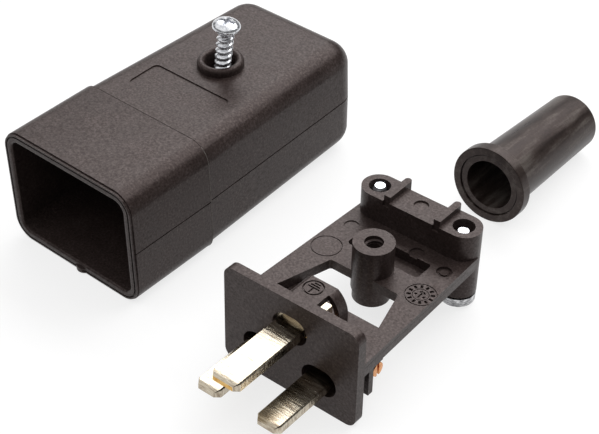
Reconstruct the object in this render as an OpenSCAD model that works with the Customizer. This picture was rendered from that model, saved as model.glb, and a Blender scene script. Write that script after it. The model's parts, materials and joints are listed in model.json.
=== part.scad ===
// Rewireable flat-pin power plug, taken apart and laid out on the plane Z = 0:
// the housing with its screw standing in the collar, the insert with pins and cord clamp,
// and the bend relief sleeve. Millimetres, +Z up, pins point to -Y.

/* [Face plate] */
// Width of the face plate
plate_w = 29; // [26:0.1:32]
// Height of the face plate
plate_h = 20.7; // [19:0.1:23]
// Thickness of the face plate
plate_t = 2; // [1.5:0.1:3]
// Corner radius of the face plate
plate_r = 2; // [1:0.1:3]
// Length of a pin slot
slot_w = 7.4; // [6.8:0.1:8]
// Height of a pin slot, rounded at both ends
slot_h = 5.6; // [4.8:0.1:6]
// Gap between the face plate and the housing, all round
plate_gap = 0.25; // [0.1:0.05:0.5]

/* [Pins] */
// Distance between the two side pins
pin_span = 13; // [12.4:0.1:13.6]
// Height of the earth pin above the side pins
earth_rise = 8; // [7.4:0.1:8.6]
// Width of a side pin
pin_w = 5; // [4:0.1:5.6]
// Width of the earth pin
earth_w = 5.8; // [5:0.1:6.4]
// Thickness of all pins
pin_t = 2; // [1.6:0.1:2.4]
// Reach of the side pins in front of the plate
pin_l = 14; // [10:0.5:18]
// Reach of the earth pin in front of the plate
earth_l = 17; // [12:0.5:22]
// Length of the bevelled pin tip
tip_l = 1.1; // [0.5:0.1:2]
// How far the bevel of the tip comes in above and below
tip_in = 0.55; // [0.2:0.05:0.7]
// How far the bevel of the tip comes in on the left and right
tip_side = 0.8; // [0.3:0.05:1.2]
// Bevel on the long edges of the pins
pin_bevel = 0.25; // [0.1:0.05:0.4]
// Gap between a pin and the plastic round it
pin_gap = 0.15; // [0.05:0.05:0.3]

/* [Terminals] */
// Width of a terminal block
block_w = 6.2; // [5.6:0.1:7]
// Length of a terminal block
block_l = 7; // [6:0.1:9]
// Height of the side terminal blocks
block_h = 6.2; // [5.4:0.1:6.8]
// Diameter of the wire holes
wire_d = 2.9; // [2:0.1:3.4]
// Diameter of the terminal screws
grub_d = 2.8; // [2.2:0.1:3]
// Length of the terminal screws
grub_l = 4.6; // [3.6:0.1:5]
// Distance of a terminal screw from the front of its block
grub_in = 2.1; // [1.8:0.1:2.6]
// Width of the slot in a terminal screw, and half of its depth
grub_slot = 0.55; // [0.4:0.05:0.7]
// Closed end of a terminal block, in front of the wire hole
wire_end = 1; // [0.6:0.1:1.5]
// Gap round the thread of a screw
thread_gap = 0.06; // [0.03:0.01:0.12]

/* [Insert frame] */
// Height of the frame's top face above the bottom of the plate
frame_z = 12.9; // [11.8:0.1:13.2]
// Thickness of the frame
frame_t = 2; // [1.6:0.1:2.4]
// Width of the frame at the plate
frame_w = 28.2; // [26:0.1:28.8]
// Width of the frame at the cord clamp
frame_rear_w = 26; // [25.4:0.1:27]
// Height of the shoulder along the upper edges of the frame's sides
shoulder_h = 0.9; // [0.6:0.1:1.2]
// How far that shoulder stands out
shoulder_out = 0.2; // [0.1:0.05:0.3]
// Depth of the skirt under the frame's sides
skirt_t = 0.85; // [0.4:0.05:0.9]
// Width of that skirt
skirt_w = 1.2; // [0.8:0.1:1.6]
// Depth of the frame's root next to the plate, below the frame
root_t = 1.15; // [0.95:0.05:1.3]
// Length of that root
root_l = 6.3; // [5.6:0.1:7]
// Rear edge of the web behind the plate
web_y = 11.3; // [10.5:0.1:13]
// Drop of the web on the left of the earth hood
web_drop = 2.2; // [1.5:0.1:3]
// Rear edge of the lower web in the left corner of the window
corner_y = 14.6; // [13:0.1:15]
// How far the lower web shows in that corner
corner_w = 1.4; // [0.8:0.1:1.6]
// Front edge of the cross-piece
cross_y = 20.4; // [18:0.1:20.8]
// Right half-width of the window at the cross-piece
window_right = 7.85; // [6:0.05:8.2]
// Left half-width of the window at the cross-piece
window_left = 7; // [6:0.05:8.2]
// How much the window widens towards the plate, per millimetre
window_slope = 0.277; // [0.2:0.001:0.3]
// Radius of the window's corners and of the pocket's corners
window_r = 0.7; // [0.4:0.05:1]
// Front edge of the pocket behind the boss
pocket_y = 26.05; // [25:0.05:26.2]
// Width of the pocket
pocket_w = 15.6; // [12:0.1:16.5]
// Length of the pocket
pocket_l = 4.6; // [4:0.1:4.8]
// Depth of the pocket
pocket_d = 2; // [1:0.1:2.4]
// Floor of the pocket
pocket_floor = 1.2; // [0.8:0.1:1.8]
// Thickness of the walls that the terminal blocks rest against
stop_t = 1.25; // [1:0.05:1.8]
// Front face of those walls
stop_y = 5.35; // [4.6:0.05:5.6]
// Lower end of the right wall
stop_z = 3; // [2.4:0.1:3.2]
// Lower end of the left wall
stop_left_z = 1; // [0.6:0.1:2]
// How far those walls stop short of the frame's sides
stop_in = 0.85; // [0.5:0.05:1.2]

/* [Screw boss] */
// Distance of the boss behind the front of the plate
boss_y = 23.43; // [23.2:0.01:24.2]
// Diameter of the boss
boss_d = 7.65; // [6.8:0.05:8]
// Top of the boss
boss_z = 18.7; // [17:0.1:19.4]
// Lower end of the boss
boss_low = 6.5; // [6:0.1:8]
// Step in the radius of the boss under the frame
boss_step = 0.3; // [0.1:0.05:0.5]
// Length of the narrower lower end
boss_step_l = 2.3; // [1.5:0.1:3]
// Pilot hole for the housing screw
pilot_d = 2.7; // [2.2:0.1:3]
// Depth of the wider mouth of that hole
mouth_l = 1.4; // [0.8:0.1:3]

/* [Earth hood] */
// Length of the earth terminal block
earth_block_l = 5; // [4.6:0.1:5.2]
// Distance of the hood's centre from the middle of the plate
hood_x = 1.57; // [1.2:0.01:1.8]
// Outer radius of the hood
hood_r = 5; // [4.8:0.05:5.4]
// Height of the hood's centre above the frame
hood_rise = 3.6; // [3.2:0.1:4]
// Wall of the hood
hood_wall = 1.05; // [0.8:0.05:1.2]
// Length of the hood behind the plate
hood_l = 5.5; // [5:0.1:6.5]
// Width of the rib at the rear of the hood
hood_rib = 2.3; // [1.6:0.1:2.8]

/* [Cord clamp] */
// Distance of the clamp screws behind the front of the plate
bar_y = 37.8; // [37:0.1:40]
// Distance between the clamp screws
bar_span = 18.7; // [18:0.1:20]
// Radius of the rounded ends of the clamp
bar_r = 3.45; // [3.2:0.05:3.8]
// Top of the bar
bar_z = 18.35; // [17.5:0.05:19]
// Height of the face where the clamp meets the bar
seam_z = 8.15; // [7.6:0.05:8.6]
// How much less deep the middle of the bar is at the rear
bar_waist = 0.85; // [0.4:0.05:1.2]
// Radius of the cord channel in the bar
channel_r = 4.5; // [4:0.1:5]
// Drop of the channel's centre below the seam
channel_drop = 0.45; // [0.2:0.05:0.8]
// Thickness of the loose clamp half
clamp_t = 4; // [3.6:0.05:4.6]
// Depth of the cord saddle in the loose clamp half
saddle_d = 2.4; // [1.8:0.1:2.8]
// Height of the grip ridges in the saddle
grip_h = 0.5; // [0.3:0.1:0.8]
// Distance of the top ribs from the middle of the bar
rib_x = 5.5; // [4.6:0.1:5.8]
// Width of the top ribs
rib_w = 1.4; // [1:0.1:1.8]
// Height of the top ribs
rib_h = 1.1; // [0.6:0.1:1.4]
// How far the front of the ribs lies behind the front of the bar
rib_in = 0.4; // [0.2:0.05:0.8]
// How far the ribs stand out behind the bar
rib_out = 1.5; // [0.8:0.05:1.8]

/* [Marks] */
// Depth of the round marks that the mould leaves
mark_d = 0.2; // [0.1:0.05:0.3]
// Diameter of the marks on the frame
mark_w = 2.8; // [2.4:0.1:3.2]
// Distance of the right one of those marks from the middle
mark_x = 10.5; // [9.6:0.05:10.8]
// Distance of those marks behind the front of the plate
mark_y = 30.65; // [29.6:0.05:31]
// Diameter of the marks in front of the bar and on it
spot_w = 2.9; // [2.4:0.1:3.2]
// Distance of the mark in front of the bar from the middle
spot_x = 3.7; // [3:0.1:4.4]
// Gap between that mark and the bar
spot_in = 1.05; // [0.8:0.05:1.2]
// Diameter of the ring on each side of the boss
ring_w = 5.9; // [5:0.1:6.2]
// Distance of the right ring from the middle
ring_x = 10.9; // [10.4:0.05:11]
// How much nearer to the middle the left mark is
mark_shift = 0.27; // [0:0.01:0.4]
// How much nearer to the middle the left ring is
ring_shift = 0.9; // [0:0.05:1]
// How far those rings lie in front of the boss
ring_in = 0.55; // [0:0.05:1]
// Width of the line of those rings
ring_line = 0.2; // [0.15:0.05:0.3]

/* [Screws] */
// Outside diameter of the thread
screw_d = 3.4; // [3:0.1:3.6]
// Length of the clamp screws under the head
screw_l = 14.2; // [13.6:0.1:14.6]
// Length of the housing screw under the head
short_l = 12; // [10:0.1:13]
// Diameter of the head
head_d = 5.7; // [5:0.1:6]
// Height of the head
head_h = 1.8; // [1.4:0.1:2]
// Radius of the head's dome
dome_r = 3.7; // [3.4:0.1:5]
// Length of the tapered end
point_l = 2.2; // [1.5:0.1:3]
// Diameter at the tip
point_d = 2.2; // [1.6:0.1:2.4]
// Gap round a clamp screw
screw_gap = 0.12; // [0.08:0.01:0.2]
// How far the right clamp screw is undone
clamp_slack = 1; // [0.3:0.1:1.1]
// Diameter of the wider mouth of the clamp holes in the bar
bar_mouth_d = 4.15; // [3.8:0.05:4.4]
// Depth of that mouth
bar_mouth_l = 2.4; // [1.5:0.1:3]
// Lean of the housing screw as it stands in its collar
screw_lean = 7; // [0:0.5:8]
// Direction of that lean, from +X towards +Y
screw_turn = 40.8; // [0:0.1:90]

/* [Housing] */
// Length of the housing
housing_l = 65.4; // [64.5:0.1:70]
// Wall of the housing
wall = 2.1; // [1.8:0.05:2.6]
// Radius of the long edges
edge_r = 4.2; // [3.6:0.1:5]
// Radius round the rear face
end_r = 5; // [4:0.1:6]
// Depth of the face plate in the housing
setback = 18; // [17.5:0.1:18.5]
// Step in from the front section to the rear one
waist = 0.3; // [0.1:0.05:0.5]
// How much the rear section narrows on each side
taper = 1.2; // [0.4:0.05:1.3]
// How much the sides draw in from the parting line to the top and bottom
draft = 0.13; // [0.05:0.01:0.3]
// Depth of the step round the front rim
rim_step = 0.3; // [0.1:0.05:0.5]
// Width of the step round the front rim
rim_w = 0.5; // [0.3:0.05:1]
// Corner radius of the inside behind the plate, which stops the plate
stop_r = 5.6; // [5:0.1:6.5]
// Height of the line where the two halves of the mould met
seam_h = 0.25; // [0.15:0.05:0.4]
// Depth of that line
seam_d = 0.2; // [0.1:0.05:0.3]
// Diameter of the gate mark on the lower rim
gate_w = 3.6; // [2.4:0.1:4.4]
// How far the gate mark stands out
gate_out = 0.55; // [0.3:0.05:0.8]
// Distance of the gate mark from the middle
gate_x = 1.2; // [0:0.1:3]
// Width of the label field
label_w = 19.7; // [14:0.1:22]
// Middle of the label field to the right of the middle of the housing
label_x = 0; // [-1:0.05:2]
// Length of the label field
label_l = 7.9; // [6:0.1:8.5]
// Front edge of the label field
label_y = 25.75; // [23:0.05:26.5]
// Depth of the label field
label_d = 0.25; // [0.1:0.05:0.5]
// Corner radius of the label field
label_r = 1.1; // [0.5:0.1:2]

/* [Screw collar] */
// Outside diameter of the collar
collar_d = 9.25; // [8.6:0.05:10]
// Diameter of the hole for the screw head
collar_hole = 6.1; // [6:0.1:6.8]
// Height of the collar
collar_h = 1.6; // [1.2:0.1:2]
// Thickness of the floor that the screw head pulls on
collar_floor = 1.2; // [1:0.1:1.6]
// Hole in that floor
floor_hole = 3; // [2.8:0.1:3.3]
// Gap between the collar tube and the boss
boss_gap = 0.2; // [0.1:0.05:0.4]
// Depth of the screw's tip in that hole
tip_dip = 0.6; // [0.4:0.1:0.8]

/* [Bend relief sleeve] */
// Length of the sleeve with its flange
sleeve_l = 31.2; // [26:0.1:37]
// Diameter of the flange
flange_d = 16.1; // [14.8:0.1:17.2]
// Thickness of the flange
flange_t = 1.7; // [1.4:0.1:2.2]
// Diameter of the tube at the flange
tube_d = 13; // [12.5:0.1:13.6]
// Diameter of the tube at its end
tube_end_d = 11.8; // [11.4:0.1:12.2]
// Diameter of the bore for the cord
cord_bore = 10.1; // [8:0.1:10.6]
// Diameter of the step on the flange face
face_d = 13; // [11.5:0.1:14]
// Depth of that step
face_step = 0.3; // [0.1:0.05:0.5]
// Rounding of the sleeve's edges
sleeve_round = 0.5; // [0.2:0.1:0.6]
// Gap between the sleeve and the hole in the housing
sleeve_gap = 0.2; // [0.1:0.05:0.4]

/* [Layout] */
// Middle of the insert to the right of the middle of the housing
insert_x = 51.55; // [46:0.05:60]
// Front of the face plate behind the front of the housing
insert_y = 1.94; // [-5:0.02:6]
// Turn of the insert
insert_turn = 1.76; // [-5:0.02:5]
// Middle of the sleeve to the right of the middle of the housing
sleeve_x = 50.28; // [44:0.02:60]
// Face of the flange behind the front of the housing
sleeve_y = 62.63; // [60:0.01:70]
// Turn of the sleeve
sleeve_turn = 1.58; // [-5:0.02:5]

/* [Hidden] */
$fn = 64;
hull_fn = 32;
skin = 0.01;
cut = 1;

plastic = "#3a3533";
rubber = "#332d2b";
nickel = "#d8d0c0";
zinc = "#c9cdd2";
copper = "#b8703f";

// Housing, from the plate that fits in it
cavity_w = plate_w + 2 * plate_gap;
cavity_h = plate_h + 2 * plate_gap;
housing_w = cavity_w + 2 * wall;
housing_h = cavity_h + 2 * wall;
mid_z = housing_h / 2;
front_l = setback + plate_t + plate_gap;
cavity_r = edge_r - wall;
collar_y = setback + boss_y;
collar_top = housing_h - waist + collar_h;
tube_low = wall + plate_gap + boss_z + boss_gap;
floor_z = tube_low + collar_floor;

// Rows of pins on the plate
side_z = (plate_h - earth_rise) / 2;
earth_z = side_z + earth_rise;

// Terminal blocks behind the plate
block_y = stop_y + stop_t;
earth_block_top = earth_z + slot_h / 2 - pin_gap;
earth_block_left = hood_x - hood_r + hood_wall + pin_gap;
earth_block_w = block_w - 2 * pin_gap;
earth_block_right = earth_block_left + earth_block_w;
grub_y = block_y + grub_in;
earth_grub_y = plate_t + (hood_l - hood_rib) / 2;
earth_grub_z = (frame_z + earth_block_top) / 2;

// Insert frame
frame_l = bar_y;
hood_z = frame_z + hood_rise;
root_z = frame_z - frame_t - root_t;
low_web_top = frame_z - web_drop;
low_web_z = side_z + block_h / 2 + pin_gap;
bar_front = bar_y - bar_r;
channel_z = seam_z - channel_drop;
channel_half = sqrt(channel_r * channel_r - channel_drop * channel_drop);
saddle_r = (channel_half * channel_half + saddle_d * saddle_d) / (2 * saddle_d);
clamp_z = seam_z - clamp_t;
screw_hole = screw_d + 2 * screw_gap;

// The insert lies on the plate's lower rear edge and on the domed head of the right clamp screw
dome_z = clamp_z - clamp_slack - head_h + dome_r;
foot_span = bar_y - plate_t;
insert_tilt = acos(dome_r / norm([dome_z, foot_span])) - atan2(foot_span, dome_z);
insert_lift = plate_t * sin(insert_tilt);

// The sleeve lies on its flange and on its far end
flange_foot = flange_t - sleeve_round / 2;
sleeve_tilt = atan((flange_d - tube_end_d) / 2 / (sleeve_l - sleeve_round - flange_foot));
sleeve_z = flange_d / 2 * cos(sleeve_tilt) + flange_foot * sin(sleeve_tilt);

// The origin is below the middle of the whole layout
left_reach = -housing_w / 2;
right_reach = insert_x + plate_w / 2 * cos(insert_turn);
earth_reach = earth_l * cos(insert_tilt) - (earth_z - pin_t / 2 + tip_in) * sin(insert_tilt);
front_reach = insert_y - earth_reach * cos(insert_turn) - (earth_w / 2 - tip_side) * sin(insert_turn);
sleeve_end_r = tube_end_d / 2 - sleeve_round;
sleeve_reach = sleeve_l * cos(sleeve_tilt) + sleeve_end_r * sin(sleeve_tilt);
rear_reach = sleeve_y + sleeve_reach * cos(sleeve_turn) + sleeve_end_r * sin(sleeve_turn);
layout_x = -(left_reach + right_reach) / 2;
layout_y = -(front_reach + rear_reach) / 2;

function frame_half(y) = (frame_w + (frame_rear_w - frame_w) * (y - plate_t) / (frame_l - plate_t)) / 2;
function window_edge(y, half) = half + window_slope * (cross_y - y);

// Flat shapes

module rounded_rect(w, h, r) {
    square([w - 2 * r, h], center = true);
    square([w, h - 2 * r], center = true);
    for (x = [-1, 1], y = [-1, 1])
        translate([x * (w / 2 - r), y * (h / 2 - r)])
            circle(r);
}

module stadium(w, h) {
    square([w - h, h], center = true);
    for (x = [-1, 1])
        translate([x * (w - h) / 2, 0])
            circle(d = h);
}

module bevelled_rect(w, h, b) {
    polygon([
        [-w / 2 + b, -h / 2], [w / 2 - b, -h / 2], [w / 2, -h / 2 + b], [w / 2, h / 2 - b],
        [w / 2 - b, h / 2], [-w / 2 + b, h / 2], [-w / 2, h / 2 - b], [-w / 2, -h / 2 + b]
    ]);
}

// Turns a flat XY shape into an upright one in XZ, drawn out along +Y from y0 to y1
module upright(y0, y1) {
    translate([0, y1, 0])
        rotate([90, 0, 0])
            linear_extrude(y1 - y0)
                children();
}

// Places of the groups

module in_housing() {
    translate([layout_x, layout_y, 0])
        children();
}

module in_insert() {
    translate([layout_x + insert_x, layout_y + insert_y, insert_lift])
        rotate([0, 0, insert_turn])
            rotate([-insert_tilt, 0, 0])
                children();
}

module in_sleeve() {
    translate([layout_x + sleeve_x, layout_y + sleeve_y, sleeve_z])
        rotate([0, 0, sleeve_turn])
            rotate([-90 - sleeve_tilt, 0, 0])
                children();
}

// Housing

module front_block() {
    hull() {
        for (x = [-1, 1], z = [-1, 1])
            translate([x * (housing_w / 2 - draft - edge_r), rim_w, mid_z + z * (housing_h / 2 - edge_r)])
                rotate([-90, 0, 0])
                    cylinder(r = edge_r, h = front_l - rim_w, $fn = hull_fn);
        translate([-housing_w / 2, rim_w, mid_z - skin])
            cube([housing_w, front_l - rim_w, 2 * skin]);
    }
}

module rear_block() {
    half_w = housing_w / 2 - waist;
    half_h = housing_h / 2 - waist;
    end_w = half_w - taper;
    hull() {
        for (x = [-1, 1], z = [-1, 1]) {
            translate([x * (half_w - draft - edge_r), front_l - skin, mid_z + z * (half_h - edge_r)])
                rotate([-90, 0, 0])
                    cylinder(r = edge_r, h = skin, $fn = hull_fn);
            translate([x * (end_w - draft - end_r), housing_l - end_r, mid_z + z * (half_h - end_r)])
                sphere(end_r, $fn = hull_fn);
        }
        translate([-half_w, front_l - skin, mid_z - skin])
            cube([2 * half_w, skin, 2 * skin]);
        for (x = [-1, 1])
            translate([x * (end_w - end_r), housing_l - end_r, mid_z - skin])
                cylinder(r = end_r, h = 2 * skin, $fn = hull_fn);
    }
}

module rear_cavity() {
    half_w = cavity_w / 2;
    end_w = half_w - waist - taper;
    half_h = cavity_h / 2;
    hull()
        for (x = [-1, 1], z = [-1, 1]) {
            translate([x * (half_w - stop_r), front_l - plate_gap, mid_z + z * (half_h - stop_r)])
                rotate([-90, 0, 0])
                    cylinder(r = stop_r, h = skin, $fn = hull_fn);
            translate([x * (end_w - stop_r), housing_l - wall - skin, mid_z + z * (half_h - waist - stop_r)])
                rotate([-90, 0, 0])
                    cylinder(r = stop_r, h = skin, $fn = hull_fn);
        }
}

// Outline of the housing at mid height, drawn in by inset
module seam_outline(inset) {
    half_w = housing_w / 2 - waist;
    end_w = half_w - taper;
    translate([-housing_w / 2 + inset, -cut])
        square([housing_w - 2 * inset, front_l + cut]);
    polygon([
        [-half_w + inset, front_l - skin], [half_w - inset, front_l - skin],
        [end_w - inset, housing_l - end_r], [-end_w + inset, housing_l - end_r]
    ]);
    translate([-end_w + end_r, housing_l - end_r - skin])
        square([2 * (end_w - end_r), end_r + skin - inset]);
    for (x = [-1, 1])
        translate([x * (end_w - end_r), housing_l - end_r])
            circle(end_r - inset);
}

module seam_line() {
    translate([0, 0, mid_z - seam_h / 2])
        linear_extrude(seam_h)
            difference() {
                translate([-housing_w, rim_w])
                    square([2 * housing_w, housing_l]);
                seam_outline(seam_d);
            }
}

// Line round the housing where the rear section begins
module waist_line() {
    inset = waist + draft + seam_d;
    translate([0, 0, mid_z])
        upright(front_l, front_l + seam_h)
            difference() {
                square([2 * housing_w, 2 * housing_h], center = true);
                rounded_rect(housing_w - 2 * inset, housing_h - 2 * (waist + seam_d), edge_r - seam_d);
            }
}

module collar_ring() {
    round_r = (collar_d - collar_hole) / 4;
    ring_r = (collar_d + collar_hole) / 4;
    rotate_extrude() {
        translate([ring_r, collar_top - round_r])
            circle(round_r);
        translate([collar_hole / 2, tube_low])
            square([2 * round_r, collar_top - round_r - tube_low]);
    }
}

module housing() {
    color(plastic)
        in_housing()
            difference() {
                union() {
                    difference() {
                        union() {
                            front_block();
                            rear_block();
                            translate([0, 0, mid_z])
                                upright(0, 2 * rim_w)
                                    rounded_rect(
                                        housing_w - 2 * rim_step, housing_h - 2 * rim_step, edge_r - rim_step
                                    );
                        }
                        translate([0, 0, mid_z])
                            upright(-cut, front_l - plate_gap + skin)
                                rounded_rect(cavity_w, cavity_h, cavity_r);
                        rear_cavity();
                    }
                    translate([0, collar_y, 0])
                        collar_ring();
                    translate([0, collar_y, tube_low])
                        cylinder(d = collar_d - skin, h = collar_floor);
                    translate([gate_x, gate_w / 2 - gate_out, rim_step])
                        cylinder(d = gate_w, h = wall / 2);
                }
                translate([0, collar_y, floor_z])
                    cylinder(d = collar_hole, h = collar_top);
                translate([0, collar_y, tube_low - cut])
                    cylinder(d = floor_hole, h = collar_floor + 2 * cut);
                translate([0, housing_l, mid_z])
                    rotate([90, 0, 0])
                        cylinder(d = tube_d + 2 * sleeve_gap, h = 2 * wall + cut, center = true);
                translate([label_x, label_y + label_l / 2, housing_h - waist - label_d])
                    linear_extrude(label_d + cut)
                        rounded_rect(label_w, label_l, label_r);
                seam_line();
                waist_line();
            }
}

// Pan head screw, with its head below Z = 0 and its tip up
module pan_screw(l) {
    intersection() {
        translate([0, 0, -head_h])
            cylinder(d = head_d, h = head_h);
        translate([0, 0, dome_r - head_h])
            sphere(dome_r);
    }
    cylinder(d = screw_d, h = l - point_l);
    translate([0, 0, l - point_l])
        cylinder(d1 = screw_d, d2 = point_d, h = point_l);
}

module housing_screw() {
    color(zinc)
        in_housing()
            translate([0, collar_y, floor_z - tip_dip])
                rotate([0, screw_lean, screw_turn])
                    translate([0, 0, short_l])
                        rotate([180, 0, 0])
                            pan_screw(short_l);
}

// Insert frame

module face_plate() {
    upright(0, plate_t)
        difference() {
            translate([0, plate_h / 2])
                rounded_rect(plate_w, plate_h, plate_r);
            for (x = [-1, 1])
                translate([x * pin_span / 2, side_z])
                    stadium(slot_w, slot_h);
            translate([0, earth_z])
                stadium(slot_w, slot_h);
        }
}

module frame_outline(inset) {
    polygon([
        [-frame_half(plate_t) + inset, plate_t - skin], [frame_half(plate_t) - inset, plate_t - skin],
        [frame_half(frame_l) - inset, frame_l], [-frame_half(frame_l) + inset, frame_l]
    ]);
}

module window_outline() {
    offset(r = window_r)
        offset(delta = -window_r)
            polygon([
                [-window_edge(plate_t, window_left), plate_t], [-window_left, cross_y],
                [window_right, cross_y], [window_edge(plate_t, window_right), plate_t]
            ]);
}

// Web behind the plate that carries the earth hood, lower on its left
module front_web() {
    hood_left = hood_x - hood_r;
    corner_x = -window_edge(corner_y, window_left) + corner_w;
    translate([0, 0, root_z])
        linear_extrude(frame_z - root_z)
            intersection() {
                window_outline();
                translate([hood_left, plate_t - skin])
                    square([plate_w, web_y - plate_t]);
            }
    translate([0, 0, low_web_z])
        linear_extrude(low_web_top - low_web_z)
            intersection() {
                frame_outline(shoulder_out);
                union() {
                    translate([-plate_w / 2, plate_t - skin])
                        square([plate_w / 2 + hood_left + hood_wall / 2, web_y - plate_t]);
                    translate([-plate_w / 2, plate_t])
                        square([plate_w / 2 + corner_x, corner_y - plate_t]);
                }
            }
}

module frame_arms() {
    translate([0, 0, frame_z - shoulder_h])
        linear_extrude(shoulder_h)
            difference() {
                frame_outline(0);
                window_outline();
            }
    translate([0, 0, frame_z - frame_t])
        linear_extrude(frame_t - shoulder_h + skin)
            difference() {
                frame_outline(shoulder_out);
                window_outline();
            }
    translate([0, 0, frame_z - frame_t - skirt_t])
        linear_extrude(skirt_t + skin)
            difference() {
                frame_outline(shoulder_out);
                frame_outline(shoulder_out + skirt_w);
            }
    translate([0, 0, root_z])
        linear_extrude(root_t + skin)
            difference() {
                intersection() {
                    frame_outline(shoulder_out);
                    translate([-plate_w / 2, 0])
                        square([plate_w, plate_t + root_l]);
                }
                window_outline();
            }
}

// Round marks and rings that the mould leaves on the upper faces
module mould_marks() {
    for (x = [-1, 1]) {
        translate([x > 0 ? mark_x : mark_shift - mark_x, mark_y, frame_z - mark_d])
            cylinder(d = mark_w, h = cut);
        translate([x > 0 ? ring_x : ring_shift - ring_x, boss_y - ring_in, frame_z - mark_d])
            difference() {
                cylinder(d = ring_w, h = cut);
                translate([0, 0, -cut])
                    cylinder(d = ring_w - 2 * ring_line, h = 3 * cut);
            }
    }
    translate([spot_x, bar_front - spot_in - spot_w / 2, frame_z - 2 * mark_d])
        cylinder(d = spot_w, h = cut);
    translate([0, bar_y, bar_z - mark_d])
        cylinder(d = spot_w, h = cut);
}

// Closed passages behind the side slots, and walls across the frame that take the push on the side pins
module stop_walls() {
    outer = frame_half(block_y) - stop_in;
    inner = pin_span / 2 - block_w / 2 - stop_t;
    for (side = [-1, 1]) {
        translate([side * pin_span / 2, 0, side_z])
            upright(plate_t - skin, stop_y + skin)
                difference() {
                    stadium(slot_w + 2 * stop_t, slot_h + 2 * stop_t);
                    stadium(slot_w, slot_h);
                }
        low = side > 0 ? stop_z : stop_left_z;
        high = side > 0 ? root_z : low_web_z;
        difference() {
            translate([side > 0 ? inner : -outer, stop_y, low])
                cube([outer - inner, stop_t, high + skin - low]);
            translate([side * pin_span / 2, 0, side_z])
                upright(0, block_y + cut)
                    square([pin_w + 2 * pin_gap, pin_t + 2 * pin_gap], center = true);
        }
    }
}

module hood_outline(r) {
    intersection() {
        union() {
            translate([hood_x, hood_z])
                circle(r);
            translate([hood_x - r, frame_z - frame_t / 2])
                square([2 * r, hood_rise + frame_t / 2]);
        }
        translate([hood_x - 2 * r, 0])
            square([4 * r, plate_h]);
    }
}

module earth_hood() {
    opening = hood_r - hood_wall;
    difference() {
        upright(plate_t - skin, plate_t + hood_l)
            hood_outline(hood_r);
        upright(plate_t - cut, plate_t + hood_l + cut)
            intersection() {
                hood_outline(opening);
                translate([hood_x - opening, frame_z])
                    square([2 * opening, plate_h - frame_z - hood_wall]);
            }
        translate([hood_x + hood_r / 2, plate_t, frame_z])
            cube([hood_r, hood_l - hood_rib, plate_h]);
    }
}

module boss_solid() {
    translate([0, boss_y, boss_low]) {
        cylinder(d = boss_d - 2 * boss_step, h = boss_step_l);
        translate([0, 0, boss_step_l])
            cylinder(d = boss_d, h = boss_z - boss_low - boss_step_l);
    }
}

module boss_hole() {
    translate([0, boss_y, boss_low - cut])
        cylinder(d = pilot_d, h = boss_z - boss_low + 2 * cut);
    translate([0, boss_y, boss_z - mouth_l])
        cylinder(d = screw_d + 2 * thread_gap, h = mouth_l + cut);
}

module clamp_outline() {
    difference() {
        translate([0, bar_y])
            stadium(bar_span + 2 * bar_r, 2 * bar_r);
        translate([-bar_span / 2 + bar_r, bar_y + bar_r - bar_waist])
            square([bar_span - 2 * bar_r, 2 * bar_waist]);
    }
}

module clamp_holes(low, high) {
    for (x = [-1, 1])
        translate([x * bar_span / 2, bar_y, low])
            cylinder(d = screw_hole, h = high - low);
}

module top_ribs() {
    rear = 2 * bar_r - bar_waist + rib_out - rib_w / 2;
    for (side = [-1, 1])
        translate([side * rib_x, bar_front, bar_z - rib_h])
            linear_extrude(2 * rib_h) {
                translate([-rib_w / 2, rib_in])
                    square([rib_w, rear - rib_in]);
                translate([0, rear])
                    circle(d = rib_w);
            }
}

module bar_mouths() {
    for (x = [-1, 1])
        translate([x * bar_span / 2, bar_y, bar_z - bar_mouth_l])
            cylinder(d = bar_mouth_d, h = bar_mouth_l + cut);
}

module rib_notches() {
    for (side = [-1, 1])
        translate([side * rib_x - rib_w / 2, bar_front - cut, bar_z - rib_h])
            cube([rib_w, cut + rib_in, 2 * rib_h]);
}

module pocket_shell() {
    translate([-pocket_w / 2 - pocket_floor, pocket_y - pocket_floor, frame_z - pocket_d - pocket_floor])
        cube([pocket_w + 2 * pocket_floor, pocket_l + 2 * pocket_floor, pocket_floor + skin]);
}

module insert_frame() {
    color(plastic)
        in_insert()
            difference() {
                union() {
                    face_plate();
                    frame_arms();
                    front_web();
                    stop_walls();
                    earth_hood();
                    boss_solid();
                    pocket_shell();
                    translate([0, 0, seam_z])
                        linear_extrude(bar_z - seam_z)
                            clamp_outline();
                    top_ribs();
                }
                boss_hole();
                rib_notches();
                mould_marks();
                bar_mouths();
                clamp_holes(seam_z - cut, bar_z + cut);
                translate([0, pocket_y + pocket_l / 2, frame_z - pocket_d])
                    linear_extrude(2 * pocket_d)
                        rounded_rect(pocket_w, pocket_l, window_r);
                translate([0, 0, channel_z])
                    upright(pocket_y + pocket_l + pocket_floor, bar_y + 2 * bar_r)
                        circle(channel_r);
            }
}

// Pins and terminals

// Flat pin from the tip at y = -reach to y = back, centred on X = 0, Z = 0
module blade(w, reach, back) {
    upright(-reach + tip_l, back)
        bevelled_rect(w, pin_t, pin_bevel);
    hull() {
        upright(-reach + tip_l, -reach + tip_l + skin)
            bevelled_rect(w, pin_t, pin_bevel);
        upright(-reach, -reach + skin)
            square([w - 2 * tip_side, pin_t - 2 * tip_in], center = true);
    }
}

// Side pin with its terminal block; the screw comes in from the side of out
module side_pin(out) {
    translate([out * pin_span / 2, 0, side_z])
        difference() {
            union() {
                blade(pin_w, pin_l, block_y + wire_end / 2);
                upright(block_y, block_y + block_l)
                    bevelled_rect(block_w, block_h, pin_bevel);
            }
            upright(block_y + wire_end, block_y + block_l + cut)
                circle(d = wire_d);
            translate([0, grub_y, 0])
                rotate([0, out * 90, 0])
                    cylinder(d = grub_d + 2 * thread_gap, h = block_w);
        }
}

module left_pin() {
    color(nickel)
        in_insert()
            side_pin(-1);
}

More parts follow.
